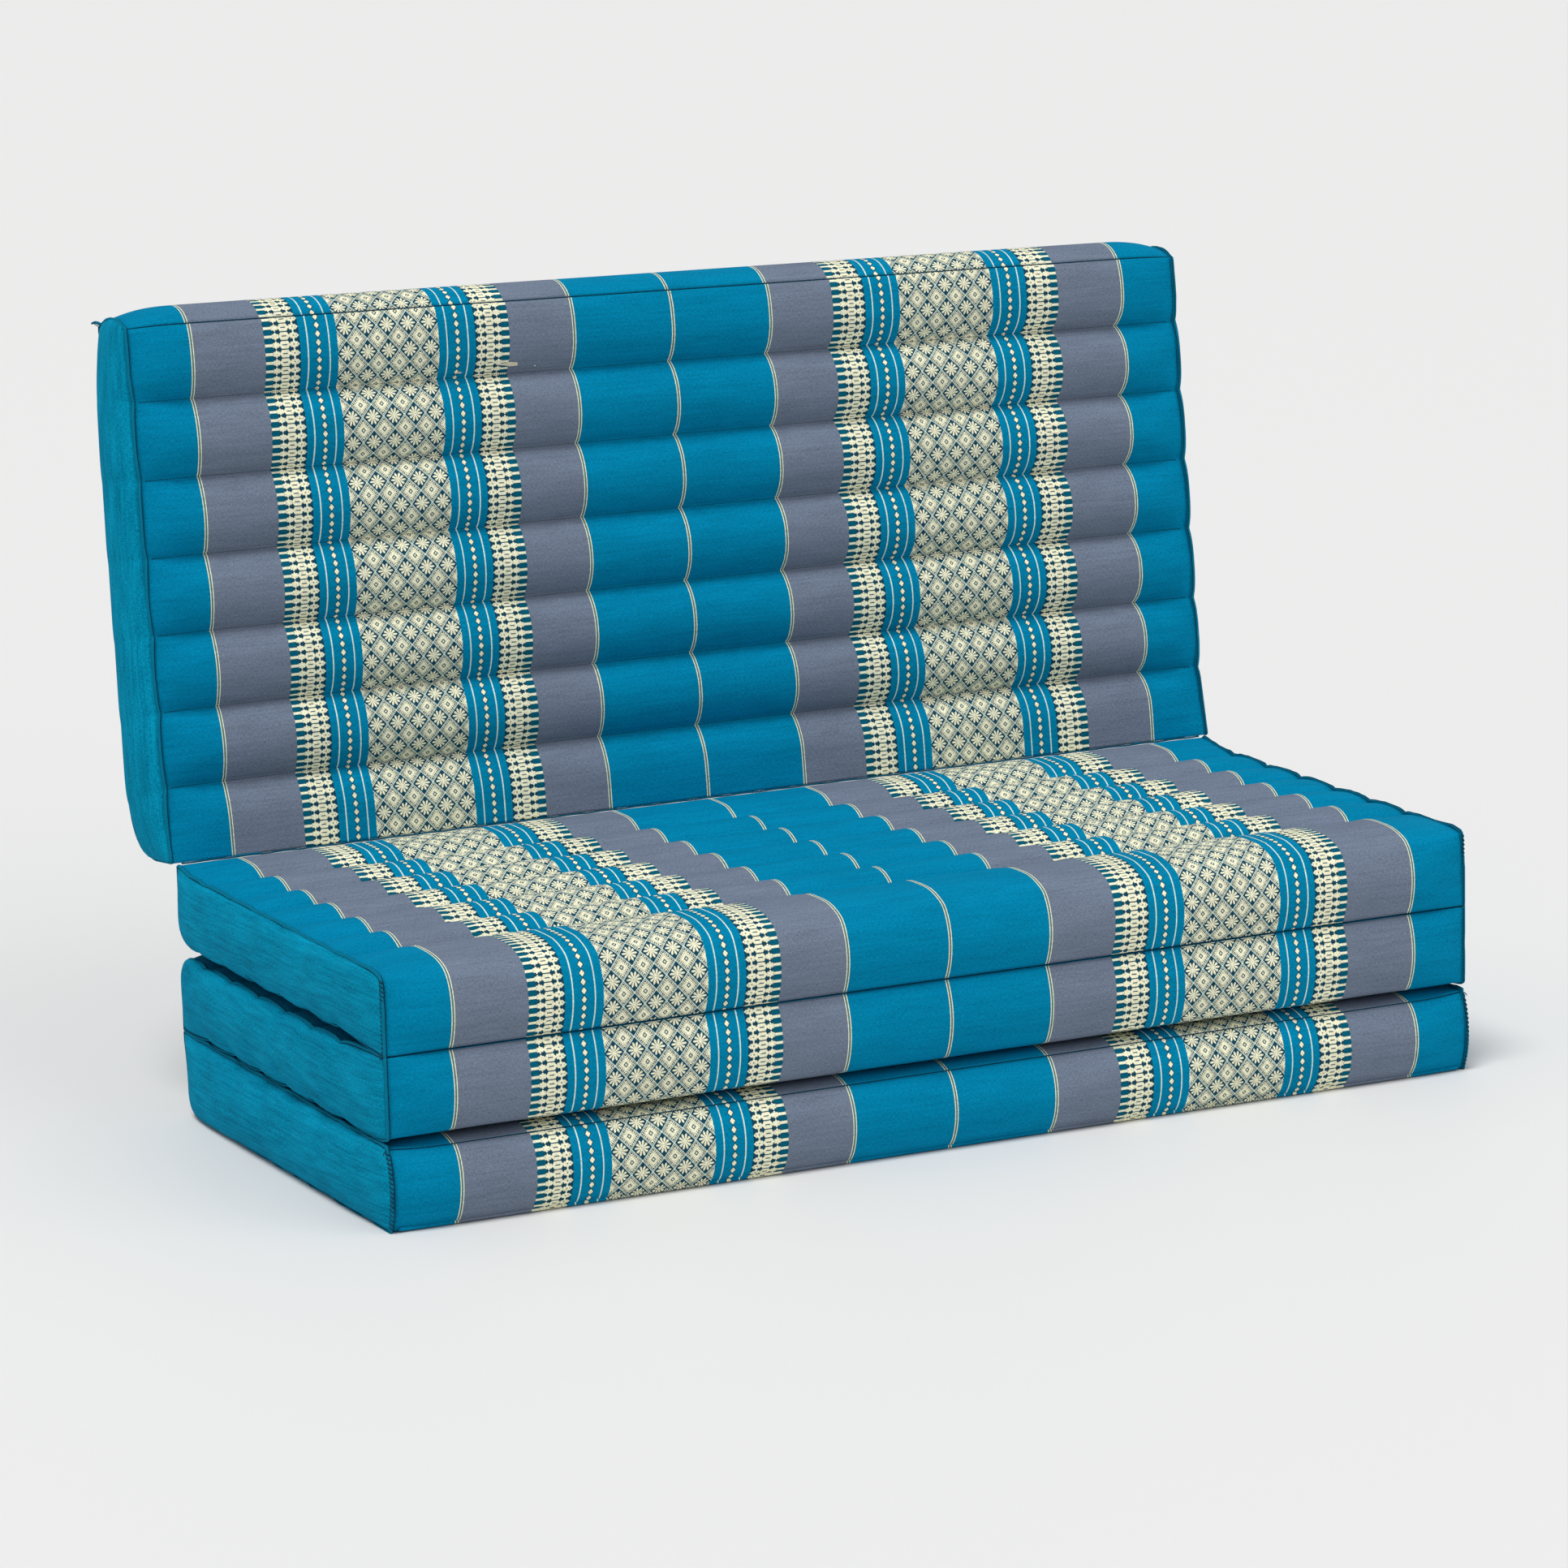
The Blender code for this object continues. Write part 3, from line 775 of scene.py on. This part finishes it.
for name in casings:
    edges = [0.0, *valleys_along(name), LENGTH - 0.004]
    for number, (start, end) in enumerate(zip(edges, edges[1:]), 1):
        chance = np.random.default_rng(number)
        reach = np.sin(np.linspace(-math.pi / 2, math.pi / 2, ROLL_ALONG + 1))
        angle = np.linspace(0, 2 * math.pi, ROLL_AROUND, endpoint=False)
        taper = (1 - np.abs(reach) ** 5 * 0.96)[:, None] ** 0.5 * (1 - 0.16 * reach[:, None] ** 6)
        lumps = 1 - 0.03 * chance.random((ROLL_ALONG + 1, ROLL_AROUND))
        round_s = np.sign(np.cos(angle)) * np.abs(np.cos(angle)) ** ROLL_SQUARE
        round_z = np.sign(np.sin(angle)) * np.abs(np.sin(angle)) ** ROLL_SQUARE
        points = np.empty((ROLL_ALONG + 1, ROLL_AROUND, 3))
        points[..., 0] = reach[:, None] * (HALF_WIDTH - ROLL_END)
        points[..., 1] = (start + end) / 2 + round_s * taper * lumps * ((end - start) / 2 - ROLL_ROOM)
        points[..., 2] = (CROWN + UNDER) / 2 + round_z * taper * lumps * (DEPTH / 2 - 1.6 * ROLL_ROOM)
        index = np.arange(points.shape[0] * ROLL_AROUND).reshape(-1, ROLL_AROUND)
        around = np.concatenate([index, index[:, :1]], axis=1)
        quads = np.stack([around[:-1, :-1], around[:-1, 1:], around[1:, 1:], around[1:, :-1]], axis=-1)
        mesh = bpy.data.meshes.new(f"{name}_kapok_{number}")
        ends = [index[0, ::-1].tolist(), index[-1].tolist()]
        mesh.from_pydata(points.reshape(-1, 3).tolist(), [], quads.reshape(-1, 4).tolist() + ends)
        mesh.transform(PANELS[name])
        turn_outwards(mesh)
        mesh.shade_smooth()
        mesh.materials.append(kapok)
        roll = scene_object(f"{name}_kapok_{number}", mesh)
        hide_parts(f"{name}_kapok_roll_{number}")
        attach(roll, name)

# ------------------------------------------------------------------ ridge seams
# The boxings are sewn on with their edges turned out, so a narrow ridge runs round each side of a
# panel, topstitched in dark thread on both flanks. Each end boxing has a thin seam at the face and
# a rounded welt at the back.

RIDGE_HALF, RIDGE_HEIGHT = 0.0020, 0.0017
RIDGE_ROOM, RIDGE_WOBBLE, RIDGE_LEAN = 0.0022, 0.0008, 0.9
END_RIDGE = 0.0005
WELT_HEIGHT, WELT_DEPTH = 0.0020, 0.0022
RIDGE_SIDES = 10


def swept(name, body, path, outward, half, height, closed, lift=0.4):
    """A round-backed ridge along a path, set out from the path's own directions."""
    ahead = np.roll(path, -1, axis=0) - np.roll(path, 1, axis=0)
    if not closed:
        ahead[0], ahead[-1] = path[1] - path[0], path[-1] - path[-2]
    ahead /= np.linalg.norm(ahead, axis=1, keepdims=True)
    up = outward - (outward * ahead).sum(axis=1, keepdims=True) * ahead
    up /= np.linalg.norm(up, axis=1, keepdims=True)
    flank = np.cross(ahead, up)
    angle = np.linspace(0, 2 * math.pi, RIDGE_SIDES, endpoint=False)[None, :, None]
    centre = path + up * height * lift
    points = centre[:, None] + flank[:, None] * np.cos(angle) * half + up[:, None] * np.sin(angle) * height
    index = np.arange(points.shape[0] * RIDGE_SIDES).reshape(-1, RIDGE_SIDES)
    rows = np.concatenate([index, index[:1]]) if closed else index
    around = np.concatenate([rows, rows[:, :1]], axis=1)
    quads = grid_faces(around)
    faces = quads.reshape(-1, 4).tolist()
    if not closed:
        faces += [index[0].tolist(), index[-1, ::-1].tolist()]
    mesh = bpy.data.meshes.new(name)
    mesh.from_pydata(points.reshape(-1, 3).tolist(), [], faces)
    length = np.append(0, np.cumsum(np.linalg.norm(np.diff(path, axis=0), axis=1)))
    length = np.append(length, length[-1] + 0.005) if closed else length
    layer = mesh.uv_layers.new(name="cloth")
    place = np.zeros((len(mesh.loops), 2))
    u = np.stack([length[:-1], length[1:], length[1:], length[:-1]], axis=-1)[:, None]
    u = u.repeat(RIDGE_SIDES, 1)
    side = np.arange(RIDGE_SIDES)
    v = np.stack([side, side, side + 1, side + 1], axis=-1)[None]
    v = v.repeat(quads.shape[0], 0) / RIDGE_SIDES
    count = quads.shape[0] * RIDGE_SIDES * 4
    place[:count, 0], place[:count, 1] = u.ravel(), v.ravel()
    layer.data.foreach_set("uv", place.ravel())
    mesh.transform(PANELS[body])
    turn_outwards(mesh)
    mesh.shade_smooth()
    return scene_object(name, mesh)


def ridge_material(name, cloth_low, cloth_high, thread, pitch):
    """Turned cloth with dark stitches down each flank. It reads u along and v round the ridge."""
    made = bpy.data.materials.new(name)
    made.use_nodes = True
    tree = made.node_tree
    shader = tree.nodes["Principled BSDF"]
    place = tree.nodes.new("ShaderNodeUVMap")
    place.uv_map = "cloth"
    parts = tree.nodes.new("ShaderNodeSeparateXYZ")
    tree.links.new(place.outputs[0], parts.inputs[0])
    u, v = Value(tree, parts.outputs[0]), Value(tree, parts.outputs[1])
    noise = tree.nodes.new("ShaderNodeTexNoise")
    noise.inputs["Scale"].default_value = 420
    noise.inputs["Detail"].default_value = 3
    tree.links.new(place.outputs[0], noise.inputs["Vector"])
    flank = abs(abs(v - 0.25) - 0.20).below(0.045, 0.03)
    stitch = u.off_row(pitch).below(pitch * 0.40, pitch * 0.15)
    sewn = flank.both(stitch.math("MULTIPLY_ADD", 0.55, 0.45))
    cloth = mixed(tree, noise.outputs["Fac"], cloth_low, cloth_high)
    tree.links.new(mixed(tree, sewn, cloth, thread), shader.inputs["Base Color"])
    relief = tree.nodes.new("ShaderNodeBump")
    relief.inputs["Distance"].default_value = 0.0004
    tree.links.new((Value(tree, noise.outputs["Fac"]) - sewn).socket, relief.inputs["Height"])
    tree.links.new(relief.outputs[0], shader.inputs["Normal"])
    shader.inputs["Roughness"].default_value = 0.9
    shader.inputs["Specular IOR Level"].default_value = 0.03
    return made


THREAD = (0.0035, 0.0240, 0.0500)
ridge_cloth = ridge_material("ridge_cloth", (0.0, 0.105, 0.185), (0.005, 0.270, 0.430), THREAD, 0.0032)
seam_line = ridge_material("seam_line", (0.0035, 0.045, 0.085), (0.006, 0.085, 0.140), THREAD, 0.0030)
for name, casing in casings.items():
    for sign, column in ((-1, 0), (1, -1)):
        path = casing.points[:, column].copy()
        chance = np.random.default_rng(len(name) + column)
        wobble = chance.normal(0, RIDGE_WOBBLE, len(path) + 2)
        path[:, 1:] += np.convolve(wobble, np.ones(3) / 3, "valid")[:, None]
        path[:, 1] = np.maximum(path[:, 1], RIDGE_ROOM)
        if name in WRAPPED:
            path[:, 1] = np.minimum(path[:, 1], LENGTH - RIDGE_ROOM)
        ahead = np.roll(path, -1, axis=0) - np.roll(path, 1, axis=0)
        outward = np.cross(ahead, (-1.0, 0, 0))
        outward /= np.linalg.norm(outward, axis=1, keepdims=True)
        outward[:, 0] += sign * RIDGE_LEAN
        side = side_of(name, sign)
        ridge = swept(f"{name}_{side}_ridge_seam", name, path, outward, RIDGE_HALF, RIDGE_HEIGHT, True)
        ridge.data.materials.append(ridge_cloth)
        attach(ridge, name)
for name, where in (("base", "front"), ("backrest", "top")):
    casing = casings[name]
    path = casing.points[CHANNELS * STEPS]
    outward = np.tile((0.0, 0.7, 0.7), (len(path), 1))
    seam = swept(f"{name}_{where}_face_seam", name, path, outward, END_RIDGE, END_RIDGE, False, 0.2)
    seam.data.materials.append(seam_line)
    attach(seam, name)
    path = casing.points[CHANNELS * STEPS + END_STEPS, 1:-1] + (0.0, 0.0008, WELT_HEIGHT * 0.9)
    outward = np.tile((0.0, 1.0, 0.0), (len(path), 1))
    welt = swept(f"{name}_{where}_back_welt", name, path, outward, WELT_HEIGHT, WELT_DEPTH, False, 0.2)
    layer = welt.data.uv_layers["cloth"]
    place = np.empty(len(welt.data.loops) * 2)
    layer.data.foreach_get("uv", place)
    place = place.reshape(-1, 2)
    place[:, 0] = path[0, 0] + place[:, 0] * (path[-1, 0] - path[0, 0]) / place[:, 0].max()
    place[:, 1] = casing.along[CHANNELS * STEPS + END_STEPS] + place[:, 1] * 0.012
    layer.data.foreach_set("uv", place.ravel())
    welt.data.materials.append(patterned)
    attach(welt, name)

# ------------------------------------------------------------------ channel stitching
# Between the rolls the casing is sewn through with a close zigzag in dark cotton, from side seam
# to side seam. The same stitches show on the plain side, but for the base, which lies on its own.

STITCH_PITCH, STITCH_LENGTH, STITCH_THICK, STITCH_SLANT = 0.0020, 0.0026, 0.00034, 0.85
STITCH_DIP = -7


def stitch_tree():
    """Stitches along the edges of a mesh, each turned about the cloth's outward direction."""
    tree = bpy.data.node_groups.new("stitches", "GeometryNodeTree")
    tree.is_modifier = True
    tree.interface.new_socket("Geometry", in_out="INPUT", socket_type="NodeSocketGeometry")
    for label in ("Pitch", "Length", "Thickness", "Slant", "Zigzag"):
        tree.interface.new_socket(label, in_out="INPUT", socket_type="NodeSocketFloat")
    tree.interface.new_socket("Sides", in_out="INPUT", socket_type="NodeSocketInt")
    tree.interface.new_socket("Thread", in_out="INPUT", socket_type="NodeSocketMaterial")
    tree.interface.new_socket("Geometry", in_out="OUTPUT", socket_type="NodeSocketGeometry")
    node, link = tree.nodes.new, tree.links.new
    source, target = node("NodeGroupInput"), node("NodeGroupOutput")
    length, thickness = Value(tree, source.outputs["Length"]), Value(tree, source.outputs["Thickness"])
    to_curve = node("GeometryNodeMeshToCurve")
    link(source.outputs["Geometry"], to_curve.inputs["Mesh"])
    spaced = node("GeometryNodeResampleCurve")
    spaced.mode = "LENGTH"
    link(to_curve.outputs[0], spaced.inputs["Curve"])
    link(source.outputs["Pitch"], spaced.inputs["Length"])

    # Each stitch stands on the cloth and runs along the seam, turned to one side or the other.
    outward = node("GeometryNodeInputNamedAttribute")
    outward.data_type = "FLOAT_VECTOR"
    outward.inputs["Name"].default_value = "outward"
    stand = node("FunctionNodeAlignRotationToVector")
    stand.axis = "Z"
    link(outward.outputs["Attribute"], stand.inputs["Vector"])
    face = node("FunctionNodeAlignRotationToVector")
    face.axis = "X"
    face.pivot_axis = "Z"
    link(stand.outputs[0], face.inputs["Rotation"])
    link(node("GeometryNodeInputTangent").outputs[0], face.inputs["Vector"])
    odd = Value(tree, node("GeometryNodeInputIndex").outputs[0]).math("MODULO", 2)
    swing = (odd * Value(tree, source.outputs["Zigzag"])).math("MULTIPLY_ADD", -2, 1)
    turn = node("FunctionNodeAxisAngleToRotation")
    turn.inputs["Axis"].default_value = (0, 0, 1)
    link((swing * Value(tree, source.outputs["Slant"])).socket, turn.inputs["Angle"])
    both = node("FunctionNodeRotateRotation")
    both.rotation_space = "LOCAL"
    link(face.outputs[0], both.inputs[0])
    link(turn.outputs[0], both.inputs[1])

    # The middle of each stitch stands up and its two ends dip into the cloth.
    bar = node("GeometryNodeMeshCylinder")
    link(source.outputs["Sides"], bar.inputs["Vertices"])
    bar.inputs["Side Segments"].default_value = 3
    bar.fill_type = "NGON"
    link(source.outputs["Thickness"], bar.inputs["Radius"])
    link(source.outputs["Length"], bar.inputs["Depth"])
    lay = node("GeometryNodeTransform")
    lay.inputs["Rotation"].default_value = (0, math.pi / 2, 0)
    link(bar.outputs["Mesh"], lay.inputs["Geometry"])
    parts = node("ShaderNodeSeparateXYZ")
    link(node("GeometryNodeInputPosition").outputs[0], parts.inputs[0])
    share = Value(tree, parts.outputs[0]) / length
    down = node("ShaderNodeCombineXYZ")
    link((share * share * (thickness * STITCH_DIP)).socket, down.inputs[2])
    bend = node("GeometryNodeSetPosition")
    link(lay.outputs[0], bend.inputs["Geometry"])
    link(down.outputs[0], bend.inputs["Offset"])

    placed = node("GeometryNodeInstanceOnPoints")
    link(spaced.outputs[0], placed.inputs["Points"])
    link(bend.outputs[0], placed.inputs["Instance"])
    link(both.outputs[0], placed.inputs["Rotation"])
    real = node("GeometryNodeRealizeInstances")
    link(placed.outputs[0], real.inputs[0])
    painted = node("GeometryNodeSetMaterial")
    link(real.outputs[0], painted.inputs["Geometry"])
    link(source.outputs["Thread"], painted.inputs["Material"])
    link(painted.outputs[0], target.inputs["Geometry"])
    return tree


STITCHES = stitch_tree()
dark_thread = bpy.data.materials.new("dark_thread")
dark_thread.use_nodes = True
shader = dark_thread.node_tree.nodes["Principled BSDF"]
twist_place = dark_thread.node_tree.nodes.new("ShaderNodeTexCoord")
twist = dark_thread.node_tree.nodes.new("ShaderNodeTexNoise")
twist.inputs["Scale"].default_value = 900
dark_thread.node_tree.links.new(twist_place.outputs["Object"], twist.inputs["Vector"])
tone = mixed(dark_thread.node_tree, twist.outputs["Fac"], (0.002, 0.016, 0.036), (0.010, 0.060, 0.105))
dark_thread.node_tree.links.new(tone, shader.inputs["Base Color"])
shader.inputs["Roughness"].default_value = 0.7
shader.inputs["Specular IOR Level"].default_value = 0.08


def sewn(name, body, lines, outwards, pitch, length, thick, slant, zigzag, sides):
    """A piece made of all the stitches along some lines, given in the panel's own frame."""
    points = np.concatenate(lines)
    starts = np.cumsum([0] + [len(line) for line in lines])
    edges = [(i, i + 1) for a, b in zip(starts, starts[1:]) for i in range(a, b - 1)]
    mesh = bpy.data.meshes.new(name + "_line")
    mesh.from_pydata(points.tolist(), edges, [])
    held = mesh.attributes.new("outward", "FLOAT_VECTOR", "POINT")
    held.data.foreach_set("vector", np.concatenate(outwards).ravel())
    guide = scene_object(name + "_line", mesh)
    modifier = guide.modifiers.new("stitches", "NODES")
    modifier.node_group = STITCHES
    sizes = {"Pitch": pitch, "Length": length, "Thickness": thick, "Slant": slant, "Zigzag": zigzag}
    sizes.update(Sides=sides, Thread=dark_thread)
    for item in STITCHES.interface.items_tree:
        if item.in_out == "INPUT" and item.name in sizes:
            modifier[item.identifier] = sizes[item.name]
    made = bpy.data.meshes.new_from_object(guide.evaluated_get(bpy.context.evaluated_depsgraph_get()))
    bpy.data.objects.remove(guide)
    made.transform(PANELS[body])
    made.shade_smooth()
    obj = scene_object(name, made)
    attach(obj, body)
    return obj


for name, casing in casings.items():
    lines, outwards = [], []
    faces = ((0, 1.0),) if name == "base" else ((0, 1.0), (CHANNELS * STEPS + END_STEPS, -1.0))
    for index in range(1, CHANNELS):
        for first, up in faces:
            row = first + index * STEPS
            line = casing.points[row, 1:-1].copy()
            line[:, 2] += up * STITCH_THICK * 1.2
            lines.append(line)
            outwards.append(np.tile((0.0, 0.0, up), (len(line), 1)))
    stitching = sewn(
        f"{name}_channel_stitching", name, lines, outwards,
        STITCH_PITCH, STITCH_LENGTH, STITCH_THICK, STITCH_SLANT, zigzag=1.0, sides=4,
    )

# ------------------------------------------------------------------ corner whip stitches
# The upright corners of the seat and the base, where the front meets the side boxings, are closed
# by hand with slanted whip stitches of doubled dark thread.

WHIP_PITCH, WHIP_LENGTH, WHIP_THICK, WHIP_SLANT = 0.0040, 0.0058, 0.00075, 0.95
for name in ("seat", "base"):
    casing = casings[name]
    first = CHANNELS * STEPS + 1
    last = CHANNELS * STEPS + END_STEPS
    lines, outwards = [], []
    for sign, column in ((-1, 0), (1, -1)):
        line = casing.points[first:last, column].copy()
        out = np.tile((sign * 0.7, 0.7, 0.0), (len(line), 1))
        line = line + out * RIDGE_HEIGHT * 1.3
        if name in WRAPPED:
            line[:, 1] = np.minimum(line[:, 1], LENGTH - RIDGE_ROOM)
        lines.append(line)
        outwards.append(out)
    whip = sewn(
        f"{name}_whip_stitches", name, lines, outwards,
        WHIP_PITCH, WHIP_LENGTH, WHIP_THICK, WHIP_SLANT, zigzag=0.0, sides=5,
    )

# ------------------------------------------------------------------ thread ends and ears
# Each seam is finished with a short loose end of thread at the corners, and at the top
# corners of the backrest the turned-out edges are folded over into a small stiff ear.

TAIL_STEPS, TAIL_THICK = 14, 0.00045
EAR = np.array([[-0.2, 0.1, 0.5], [0.2, 0.5, 0.2], [0.6, 0.8, -0.3], [0.9, 0.5, -0.8]]) * 0.007
EAR_HALF, EAR_HEIGHT = 0.0030, 0.0013
for name, row, reach in (
    ("backrest", CHANNELS * STEPS + END_STEPS, 0.007),
    ("seat", CHANNELS * STEPS + END_STEPS, 0.006),
    ("middle", CHANNELS * STEPS + END_STEPS, 0.006),
    ("base", CHANNELS * STEPS, 0.007),
):
    casing = casings[name]
    for sign, column in ((-1, 0), (1, -1)):
        side = side_of(name, sign)
        corner = casing.points[row, column]
        chance = np.random.default_rng(11 * len(name) + sign)
        step = np.linspace(0, 1, TAIL_STEPS)[:, None]
        swing = chance.uniform(-0.4, 0.4, 2)
        ahead = -0.6 if name in WRAPPED else 0.35
        aim = np.array([sign * 0.8, ahead + swing[0], 0.25 * swing[1]])
        path = corner + aim * reach * step + np.array([0.0, swing[1], -0.5]) * reach * step**2
        outward = np.tile((0.1, 0.0, 1.0), (TAIL_STEPS, 1))
        tail = swept(f"{name}_{side}_thread_end", name, path, outward, TAIL_THICK, TAIL_THICK, False, 0.0)
        tail.data.materials.append(dark_thread)
        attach(tail, name)
        if name != "backrest":
            continue
        path = corner + EAR * (sign, 1, 1)
        outward = np.tile((0.0, 1.0, 0.2), (len(EAR), 1))
        ear = swept(f"{name}_{side}_ear", name, path, outward, EAR_HALF, EAR_HEIGHT, False, 0.2)
        ear.data.materials.append(ridge_cloth)
        rounded = ear.modifiers.new("rounded", "SUBSURF")
        rounded.levels = rounded.render_levels = 1
        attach(ear, name)

# ------------------------------------------------------------------ fold bindings
# At each fold the seam allowances of two panels are rolled up together and bound in dark blue
# cotton. That soft cord is the hinge, and the creases hide most of it. Its dark blue is also painted
# shade: the thin line of it that shows in a crease stands for the crease shadow.

BINDING_STEPS = 160
BINDING_SHOWS = 0.40
BINDING_SHIFT = {
    "rear_fold": (0, 0.0008, 0),
    "front_fold": (0, 0.0030, 0),
    "back_lean": (0, 0.0009, -0.0003),
}
# The binding's dark blue is partly its own colour and partly painted crease shadow where it shows between the
# panels.
binding_cloth = ridge_material(
    "binding_cloth", (0.003, 0.080, 0.150), (0.010, 0.160, 0.260), THREAD, 0.0026
)
for node, body, joint in (
    ("rear_fold_binding", "base", "rear_fold"),
    ("front_fold_binding", "middle", "front_fold"),
    ("back_fold_binding", "backrest", "back_lean"),
):
    low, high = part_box(node)
    size = (high.z - low.z) / 2 * BINDING_SHOWS
    x = np.linspace(low.x, high.x, BINDING_STEPS + 1)
    path = np.stack([x, 0.00015 * np.sin(x * 210), 0.00015 * np.cos(x * 170)], axis=1)
    place = Vector(joint_at[joint]) + Vector(BINDING_SHIFT[joint])
    to_panel = PANELS[body].inverted() @ Matrix.Translation(place)
    path = np.array([to_panel @ Vector(point) for point in path])
    outward = np.tile((0.0, 0.0, 1.0), (len(path), 1))
    wrap = swept(f"{joint}_binding_roll", body, path, outward, size, size, False, 0.0)
    wrap.data.materials.append(binding_cloth)
    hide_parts(node)
    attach(wrap, body)

# ------------------------------------------------------------------ floor, light and camera
# A plain pale floor, a broad soft light from above the front left and a weaker one from the front
# right, and the view from the front left corner.

FLOOR_HALF = 60
FLOOR_CORNERS = [(x * FLOOR_HALF, y * FLOOR_HALF, 0) for x, y in ((-1, -1), (1, -1), (1, 1), (-1, 1))]
CAMERA_PLACE, CAMERA_LENS = (-2.6543, -5.3403, 1.5531), 149.9
CAMERA_TURN, CAMERA_DOWN, CAMERA_ROLL = (math.radians(angle) for angle in (-26.09, 11.90, -1.35))
LIGHTS = (((0.38, 0.27, -1.20), 24, 2.00), ((-0.7, 1.0, -0.7), 50, 0.60))  # towards, softness, power

floor_mesh = bpy.data.meshes.new("floor")
floor_mesh.from_pydata(FLOOR_CORNERS, [], [(0, 1, 2, 3)])
floor = scene_object("floor", floor_mesh)
pale = bpy.data.materials.new("pale_floor")
pale.use_nodes = True
shader = pale.node_tree.nodes["Principled BSDF"]
shader.inputs["Base Color"].default_value = (0.78, 0.78, 0.77, 1)
shader.inputs["Roughness"].default_value = 0.6
floor_mesh.materials.append(pale)

camera = scene_object("camera", bpy.data.cameras.new("camera"))
bpy.context.scene.camera = camera
camera.data.sensor_width = 36
camera.data.lens = CAMERA_LENS
camera.data.clip_end = 100
camera.location = CAMERA_PLACE
level = math.cos(CAMERA_DOWN)
ahead = Vector((-math.sin(CAMERA_TURN) * level, math.cos(CAMERA_TURN) * level, -math.sin(CAMERA_DOWN)))
aimed = ahead.to_track_quat("-Z", "Y").to_matrix() @ Matrix.Rotation(CAMERA_ROLL, 3, "Z")
camera.rotation_euler = aimed.to_euler()

world = bpy.data.worlds.new("world")
world.use_nodes = True
sky = world.node_tree.nodes["Background"]
sky.inputs["Color"].default_value = (0.98, 0.985, 1.0, 1)
sky.inputs["Strength"].default_value = 0.46
bpy.context.scene.world = world
bpy.context.scene.view_settings.view_transform = "Standard"
for toward, softness, power in LIGHTS:
    lamp = bpy.data.lights.new("soft_light", "SUN")
    lamp.angle = math.radians(softness)
    lamp.energy = power
    light = scene_object("soft_light", lamp)
    light.rotation_euler = Vector(toward).to_track_quat("-Z", "Y").to_euler()
